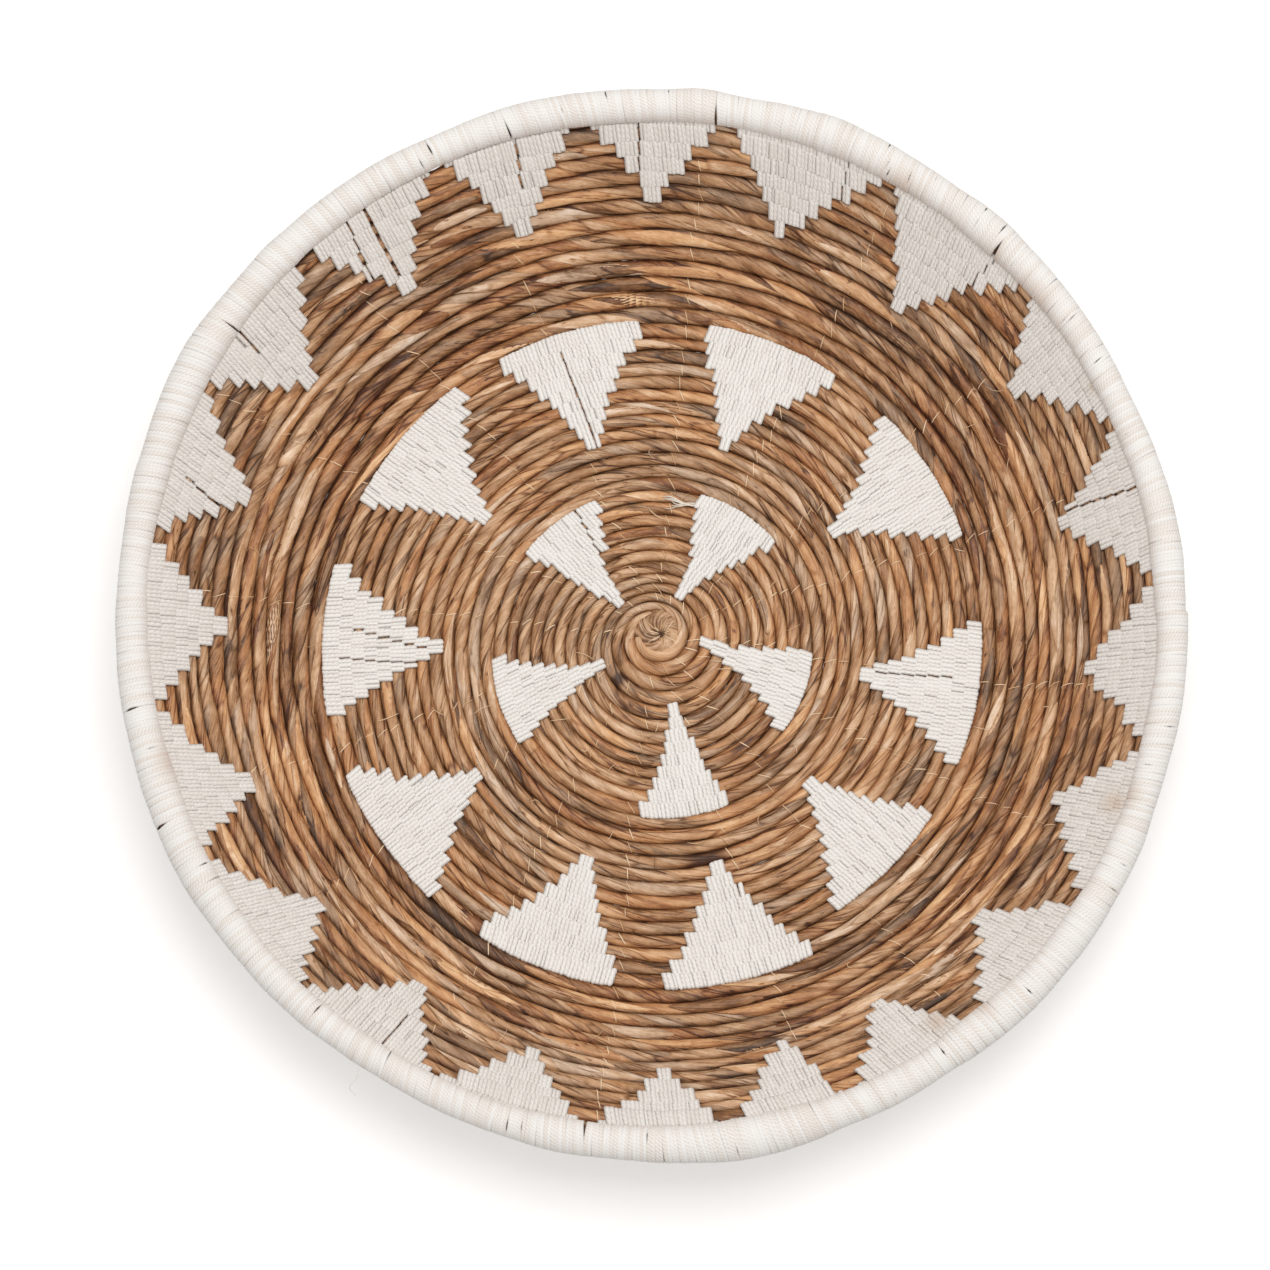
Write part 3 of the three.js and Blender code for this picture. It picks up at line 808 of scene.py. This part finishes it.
def add_figure(node, figure, seed):
    """All the strands of one figure, each a closed loop of yarn round its row."""
    chance = np.random.default_rng(seed)
    axis, offsets, lines = figure_strands(figure, chance)
    offsets = offsets + chance.uniform(-0.07, 0.07, len(offsets))
    lean = figure["slant"] * floor_pitch + 0.2 + chance.uniform(-0.22, 0.22, len(offsets))
    proud = chance.uniform(-0.07, 0.1, len(offsets))
    rough_radius = half_section(groove_at(lines + 0.5 + axis * rope_count / full_turn, axis))[0]
    widths = np.full(len(offsets), strand_width)
    for inner_angle, inner_radius, outer_angle, outer_radius, slit_width in yarn_slits:
        along = (rough_radius - inner_radius) / (outer_radius - inner_radius)
        slit_line = np.radians(inner_angle + (outer_angle - inner_angle) * along) - axis
        from_slit = offsets - rough_radius * np.sin(slit_line)
        near = (along > 0) & (along < 1) & (np.abs(from_slit) < slit_limit) & (np.cos(slit_line) > 0)
        pushed = np.sign(from_slit) * slit_width / 2 * np.exp(-np.abs(from_slit) / slit_reach)
        in_line = (np.floor(from_slit / strand_width) + 0.5) * strand_width - from_slit
        in_line *= np.exp(-(from_slit / (2 * slit_reach)) ** 2)
        offsets = offsets + np.where(near, pushed + in_line, 0)
        widths = widths * np.where(near & (np.abs(from_slit) < strand_width), slit_side_width, 1)
    angle = axis + np.arcsin(offsets / rough_radius)
    place = lines + angle * rope_count / full_turn
    inner, outer = groove_at(place, angle), groove_at(place + 1, angle)
    kept = outer - inner > thinnest_row
    outer = outer + 1.1 * (place > last_row - 1.7)
    offsets, lean, proud, widths = offsets[kept], lean[kept], proud[kept], widths[kept]
    inner, outer, place = inner[kept], outer[kept], place[kept]
    depth = np.minimum(row_size(place), (outer - inner) / 2 + 0.4) + strand_clearance + proud
    reach = ((outer - inner) / 2 + wrap_overlap) * chance.uniform(0.97, 1.09, len(widths))
    across = reach[:, None] * wrap_across
    height = depth[:, None] * wrap_height
    distance = ((inner + outer) / 2)[:, None] + across
    aside = offsets[:, None] + lean[:, None] * across / floor_pitch

    def at(aside):
        radius = half_section(distance)[0]
        return on_bowl(axis + np.arcsin(np.clip(aside / radius, -1, 1)), distance, height)

    centres = at(aside)
    sideways = unit(at(aside + 0.2) - at(aside - 0.2))
    pinched = chance.uniform(0.15, 1.1, (len(widths), 1)) ** 1.5
    slimness = 1 - (1 - wrap_slimness) * pinched
    half_width = (widths / 2 * chance.uniform(1.5, 1.8, len(widths)))[:, None] * slimness
    half_thickness = strand_half_thickness * chance.uniform(0.9, 1.1, len(widths))[:, None]
    points, faces, angles = strands(centres, sideways, half_width, half_thickness, wrap_section)
    length = (np.arange(wrap_rings) * wrap_step)[:, None] + chance.uniform(0, 90, (len(widths), 1, 1))
    ply = stacked(
        half_width[..., None] * np.cos(angles) + 3 * place[:, None, None],
        half_width[..., None] * np.sin(angles), length,
    )
    shaded = 0.2 * soft_step(place.mean(), 27, 31)
    tone = chance.uniform(0.45, 0.7, (len(widths), 1, 1)) - shaded
    stain = np.zeros((*half_width.shape, 1))
    for across_stain, up_stain, stain_size in yarn_stains:
        from_stain = np.hypot(centres[..., :1] - across_stain, centres[..., 2:] - up_stain)
        stain += stain_strength * np.exp(-(from_stain / stain_size) ** 2)
    piece = add_mesh(node + "_wraps", points, faces, figure_yarn, ply=ply, tone=tone, stain=stain)
    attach(piece, "root")
    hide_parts(node)


# The figures on the floor: the angles of both ends of the base, the tip's angle and the first row.
figure_depth = 9
inner_figures = [figure_from(*place, figure_depth) for place in (
    (35, 73, 54, 3), (112, 149, 141, 3), (188, 220, 212, 3), (265, 293, 284, 3), (321, 353, 344, 1),
)]
middle_figures = [figure_from(*place, figure_depth) for place in (
    (16, 44, 29, 16), (54, 81, 70, 16), (92, 120, 108, 16), (127, 156, 146, 16), (167, 195, 184, 16),
    (204, 231, 219, 16), (239, 264, 254, 16), (271, 296, 285, 16), (302, 327, 315, 14), (335, 362, 348, 14),
)]
# The figures along the rim: the notches between them, then their tips' angles and rows, and how far
# their strands slant, in hundredths.
notches = [4, 22, 41, 61, 81, 98, 115, 134, 152, 170, 190, 208, 227, 245, 263, 278.5, 292.5, 309, 326, 345]
tips = [14, 33, 53, 72.5, 90, 108, 125.5, 144, 162, 180]
tips += [201.5, 220.5, 237, 254.5, 272, 287, 300.5, 318, 336, 354]
tip_rows = [32, 33, 31, 32, 33, 32, 32, 32, 32, 32, 32, 32, 31, 32, 32, 31, 31, 31, 31, 31]
slants = [5, 10, 15, 18, 5, -5, -10, -15, -24, 0, -20, -24, -5, 5, 10, 15, 20, 17, 10, 5]
notch_width = 0.9
least_edge_row = 0.25
outer_figures = []
following_notches = notches[1:] + [notches[0] + 360]
for here, following, tip, tip_row, slant in zip(notches, following_notches, tips, tip_rows, slants):
    rows = math.ceil(last_row - tip_row - tip * rope_count / 360 - least_edge_row)
    start, end = here + notch_width / 2, following - notch_width / 2
    outer_figures.append(figure_from(start, end, tip, tip_row, rows, slant / 100, 0.1))
for ring_name, figures, ring_seed in (
    ("inner_figure", inner_figures, 5000),
    ("middle_figure", middle_figures, 6000),
    ("outer_figure", outer_figures, 7000),
):
    for number, figure in enumerate(figures, 1):
        add_figure(f"{ring_name}_{number}", figure, ring_seed + number)


# The sewing thread
# Fine pale thread that holds each row to the row inside it: sixteen lines of short slanting
# stitches that run out from the centre, hidden where yarn covers the rope, and a ring of knot stitches.
def straw_material(name, colour, shade_colour):
    material, shade = new_material(name)
    ply = attribute(shade, "ply", "Vector")
    tone = attribute(shade, "tone", "Fac")
    fibre = ply.scaled(6.0, 0.8).noise(2, 0.6)
    base = (tone + 0.5 * (fibre - 0.5)).eased(0.1, 0.9).mixed(shade_colour, colour)
    return with_surface(material, shade, 0.4, 0.0001, fibre, {"Base Color": base, "Roughness": 0.5})


pale_thread = straw_material("pale_sewing_thread", paint(252, 224, 188), paint(214, 172, 128))
figure_fluff = straw_material("frayed_yarn_fibre", paint(240, 232, 222), paint(206, 190, 172))
stitch_lines = (16, 37, 60, 84, 110, 130, 152, 175, 200, 219, 242, 264, 289, 307, 332, 351)
thread_sides = 4


def under_yarn(angle, row):
    """Whether a figure's yarn covers the rope at this angle, in radians, of this row."""
    for figure in inner_figures + middle_figures + outer_figures:
        starts, ends = figure_limits(figure)
        for more_turns in (-1, 0, 1):
            step = row - rope_count * more_turns - figure["first_row"]
            same_angle = angle + more_turns * full_turn
            if 0 <= step < figure["rows"] and starts[step] - 0.02 <= same_angle <= ends[step] + 0.02:
                return True
    return False


def add_threads(name, paths, half_width, half_thickness, material, seed):
    """Fine threads along many paths, each thinner at its ends."""
    chance = np.random.default_rng(seed)
    paths = np.asarray(paths, float)
    count, rings = paths.shape[:2]
    run = np.gradient(paths, axis=1)
    sideways = unit(np.cross(run, (0, -1, 0)))
    taper = np.sin(np.linspace(0.35, math.pi - 0.35, rings)) ** 0.5
    width = half_width * chance.uniform(0.75, 1.25, (count, 1)) * taper
    thickness = half_thickness * chance.uniform(0.8, 1.2, (count, 1)) * taper
    section = evenly_round(thread_sides)
    points, faces, angles = strands(paths, sideways, width, thickness, section, closed=False)
    length = np.arange(rings)[:, None] + chance.uniform(0, 99, (count, 1, 1))
    ply = stacked(np.cos(angles), np.sin(angles), length)
    tone = chance.uniform(0.2, 0.9, (count, 1, 1))
    piece = add_mesh(name, points, faces, material, ply=ply, tone=tone)
    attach(piece, "root")


thread_chance = np.random.default_rng(21)
stitch_paths = []
stitch_points = 8
stitch_share = 0.93
stitch_half_width = 0.24
stitch_half_thickness = 0.16
across_row = np.linspace(-0.97, 0.97, stitch_points)
for line in stitch_lines:
    drift = 0.0
    for row in range(int(last_row)):
        drift = 0.7 * drift + thread_chance.uniform(-1.2, 1.2)
        slant = thread_chance.uniform(0.6, 4.6)
        shown = thread_chance.uniform() < stitch_share
        radius = half_section(groove_at(row + 0.5 + line * rope_count / 360, math.radians(line)))[0]
        angle = math.radians(line) + drift / radius
        place = row + angle * rope_count / full_turn
        if not shown or under_yarn(angle, row) or not 1.5 < place < rope_end - 1:
            continue
        inner, outer = groove_at(place, angle), groove_at(place + 1, angle)
        proud = row_size(place) * np.sqrt(1 - across_row ** 2) + 0.12
        distance = (inner + outer) / 2 + across_row * (outer - inner) / 2
        stitch_paths.append(on_bowl(angle + across_row * slant / 2 / radius, distance, proud))
for stitch in range(knot_stitches):
    angle = full_turn * (stitch + thread_chance.uniform(-0.25, 0.25)) / knot_stitches
    reach = thread_chance.uniform(2.6, 8.2)
    out = np.linspace(thread_chance.uniform(0.8, 2.0), reach, stitch_points)
    bend = angle + np.linspace(0, thread_chance.uniform(-0.2, 0.2), stitch_points)
    across = dimple_place[0] + out * np.cos(bend)
    up = dimple_place[1] + out * np.sin(bend)
    rise = knot_rise(across, up) + 0.08
    stitch_paths.append(stacked(across, -rise, up))
add_threads(
    "sewing_thread_stitches", stitch_paths, stitch_half_width, stitch_half_thickness,
    pale_thread, 22,
)


# The rim
# A stiff bundle of fibre bent into a hoop and bound with finer off-white yarn, strand by strand. The
# binding swells and thins as the bundle does, and opens here and there.
rim_depth = -half_floor_rope - rim_rise
core_radius = 5.35
core_rings = 288
core_sides = 24
core_twists = 9
core_tone = 0.34
core_hue = 0.35
# The bundle is painted a little darker all over through the groove shade, as it lies in shade under its
# binding.
core_shade = 0.3
hoop_turn = evenly_round(core_rings)
# Where the hoop swells or thins: the angle, how far to each side, and by how much.
rim_bulges = (
    (24, 14, -0.9), (48, 5, 0.9), (69, 7, 2.2), (84, 3, 1.4), (114, 6, -1.3), (135, 6, 0.9), (151, 8, 3.4),
    (207, 9, 2.2), (240, 8, -0.8), (280, 8, 2.6), (312, 6, 1.2), (345, 9, -0.7),
)


def hoop_bulge(place):
    """How much wider than usual the bundle is, half on each side, at a length round the rim."""
    bulge = 0.0
    for bulge_angle, bulge_spread, push in rim_bulges:
        bulge = bulge + push * np.exp(-((np.degrees(place / rim_radius) - bulge_angle) / bulge_spread) ** 2)
    return bulge / 2


def hoop_shift(place):
    """How far the bundle bends out of its circle, and forward, at a length round the rim."""
    return 0.6 * wander(34, place, 45) + hoop_bulge(place), 0.4 * wander(35, place, 60)


core_place = hoop_turn * rim_radius
core_shift_out, core_shift_front = hoop_shift(core_place)
core_radii = rim_radius + core_shift_out
core_thickness = core_radius + hoop_bulge(core_place)
core_depths = rim_depth - core_shift_front
core_centres = around(hoop_turn, core_radii, core_depths)[None]
core_out = around(hoop_turn, core_radii + 1, core_depths) - around(hoop_turn, core_radii - 1, core_depths)
core_out = unit(core_out)[None]
core_column = evenly_round(core_sides)
core_angles = (core_twists * hoop_turn[:, None] + core_column)[None]
core_swell = np.tile((0.9, 1.03, 1.03), core_sides // 3)[None]
points, faces, angles = strands(
    core_centres, core_out, core_thickness, core_thickness, core_angles, core_swell,
)
core_lay = stacked(
    core_radius * np.cos(core_column), core_radius * np.sin(core_column), core_place[:, None],
)
core = add_mesh(
    "rim_core_bundle", points, faces, wall_leaf,
    lay=core_lay, tone=core_tone, hue=core_hue, groove=core_shade, seam=0,
)
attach(core, "root")
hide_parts("rim_core")

rim_yarn = yarn_material("rim_yarn", paint(240, 238, 236), paint(226, 216, 207))
rim_strands = 900
rim_rings = 18
rim_sides = 6
binding_radius = 6.55
binding_half_width = 1.06
binding_half_thickness = 0.36
gap_reach = 3.0
small_gaps = 34
# Gaps in the binding, then its stains: the angle and the width of each.
rim_gaps = (
    (82.5, 2.0), (106.0, 1.3), (145.0, 1.8), (46.5, 2.2), (31.0, 0.9), (37.5, 0.9), (211.5, 1.0),
    (263.0, 1.6), (288.0, 1.0), (174.0, 0.6), (126.5, 0.7), (8.0, 0.6), (330.5, 0.7), (240.0, 0.6),
)
rim_stains = ((46.5, 3.0), (339.0, 5.0), (310.0, 4.0), (60.0, 9.0), (40.0, 12.0), (197.0, 9.0))
rim_chance = np.random.default_rng(31)
rim_places = (np.arange(rim_strands) + rim_chance.uniform(-0.1, 0.1, rim_strands)) * full_turn / rim_strands
around_tube = evenly_round(rim_rings)
inner_side = np.clip(0.25 - np.cos(around_tube), 0, 1)
gap_shift = np.zeros((rim_strands, rim_rings))
stain_here = np.zeros(rim_strands)
for gap_angle, gap_width in rim_gaps:
    from_gap = (rim_places - math.radians(gap_angle)) * rim_radius
    opened = np.sign(from_gap) * gap_width / 2 * np.exp(-np.abs(from_gap) / gap_reach) / rim_radius
    gap_shift += opened[:, None] * inner_side
for small_gap in range(small_gaps):
    anywhere, upper_right = rim_chance.uniform(0, full_turn), rim_chance.normal(0.85, 0.25)
    gap_angle = rim_chance.choice((anywhere, upper_right), p=(0.7, 0.3))
    from_gap = (rim_places - gap_angle) * rim_radius
    opened = np.sign(from_gap) * rim_chance.uniform(0.45, 0.8) * np.exp(-np.abs(from_gap) / gap_reach)
    gap_middle, gap_spread = rim_chance.uniform(0.5, 2.7), rim_chance.uniform(0.2, 0.5)
    reach_round = np.exp(-((around_tube - gap_middle) / gap_spread) ** 2)
    gap_shift += opened[:, None] * reach_round / rim_radius
for stain_angle, stain_width in rim_stains:
    from_stain = (rim_places - math.radians(stain_angle)) * rim_radius
    stain_here = np.maximum(stain_here, np.exp(-(from_stain / stain_width) ** 2))
rim_length = rim_places * rim_radius
swelling = 0.4 * wander(32, rim_length, 30) + 0.28 * wander(33, rim_length, 12) + hoop_bulge(rim_length)
tube = (binding_radius + swelling + rim_chance.uniform(-0.06, 0.06, rim_strands))[:, None]
shift_out, shift_front = (shift[:, None] for shift in hoop_shift(rim_length))
rim_lean = (0.9 * wander(36, rim_length, 30) + rim_chance.uniform(-0.25, 0.25, rim_strands) + 0.7)[:, None]
strand_turn = rim_places[:, None] + rim_lean * np.cos(around_tube) / rim_radius + gap_shift


def rim_at(turn, tube):
    """Points round the bent tube of the binding."""
    return around(
        turn,
        rim_radius + shift_out + tube * np.cos(around_tube),
        rim_depth - shift_front - tube * np.sin(around_tube),
    )


rim_centres = rim_at(strand_turn, tube)
rim_side = unit(rim_at(strand_turn + 0.002, tube) - rim_at(strand_turn - 0.002, tube))
rim_half_width = (binding_half_width * rim_chance.uniform(0.92, 1.08, rim_strands))[:, None]
points, faces, angles = strands(
    rim_centres, rim_side, rim_half_width, binding_half_thickness, evenly_round(rim_sides),
)
rim_ply = stacked(
    0.8 * np.cos(angles) + 3 * rim_length[:, None, None], 0.8 * np.sin(angles),
    (around_tube * binding_radius)[:, None] + rim_chance.uniform(0, 90, (rim_strands, 1, 1)),
)
rim_tone = rim_chance.uniform(0.35, 0.75, (rim_strands, 1, 1))
rim_stain = 0.5 * stain_here[:, None, None] * inner_side[:, None]
binding = add_mesh(
    "rim_wrap_binding", points, faces, rim_yarn, ply=rim_ply, tone=rim_tone, stain=rim_stain,
)
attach(binding, "root")
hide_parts("rim_wrap")


# Loose ends
# What the maker left untrimmed: a frayed tail of yarn beside the first small figure, a thread's end
# below the rim, and stray hairs of the sewing thread that lie over the rows.
loose_chance = np.random.default_rng(41)
tail_angle = math.radians(72)
tail_distance = 57.5
tail_fibres = 7
thread_points = 9
tail_paths = []
for fibre in range(tail_fibres):
    run = np.linspace(0, 1, thread_points)
    reach = loose_chance.uniform(8, 14.5)
    rise = loose_chance.uniform(-3.4, 3.6)
    curl = loose_chance.uniform(-1.6, 1.6)
    root = on_bowl(tail_angle, tail_distance + loose_chance.uniform(-1.0, 1.0), 3.1)
    path = root + stacked(
        -reach * run,
        -0.9 * np.sin(math.pi * run) - 0.2 * loose_chance.uniform(0, 1) * run,
        rise * run ** 1.4 + curl * np.sin(2 * math.pi * run) * run,
    )
    tail_paths.append(path)
add_threads("frayed_yarn_tail", tail_paths, 0.3, 0.22, figure_fluff, 42)

hanging = np.linspace(0, 1, 12)
hanging_end = around(math.radians(237.4), rim_radius + binding_radius + 0.3, rim_depth + 1.5) + stacked(
    -3.0 * hanging + 2.2 * np.sin(2.4 * math.pi * hanging) * hanging, -1.0 * hanging, -11 * hanging,
)
add_threads("thread_end_under_rim", [hanging_end], 0.26, 0.2, figure_fluff, 44)

hair_count = 70
hair_paths = []
for hair in range(hair_count):
    angle = loose_chance.uniform(0, full_turn)
    distance = loose_chance.uniform(15, edge_distance - 25)
    reach = loose_chance.uniform(3, 10)
    heading = loose_chance.normal(0, 0.7)
    run = np.linspace(-0.5, 0.5, thread_points)
    bow = loose_chance.uniform(-1.5, 1.5) * (run * 2) ** 2
    away = distance + reach * run * math.cos(heading) + bow * math.sin(heading)
    aside = reach * run * math.sin(heading) - bow * math.cos(heading)
    row_here = np.interp(distance, plain_grooves, row_table)
    if under_yarn(angle, round(row_here - angle * rope_count / full_turn)):
        continue
    radius = half_section(away)[0]
    lift = 3.3 + 0.5 * np.cos(math.pi * run)
    hair_paths.append(on_bowl(angle + aside / radius, away, lift))
add_threads("stray_thread_hairs", hair_paths, 0.13, 0.1, pale_thread, 43)
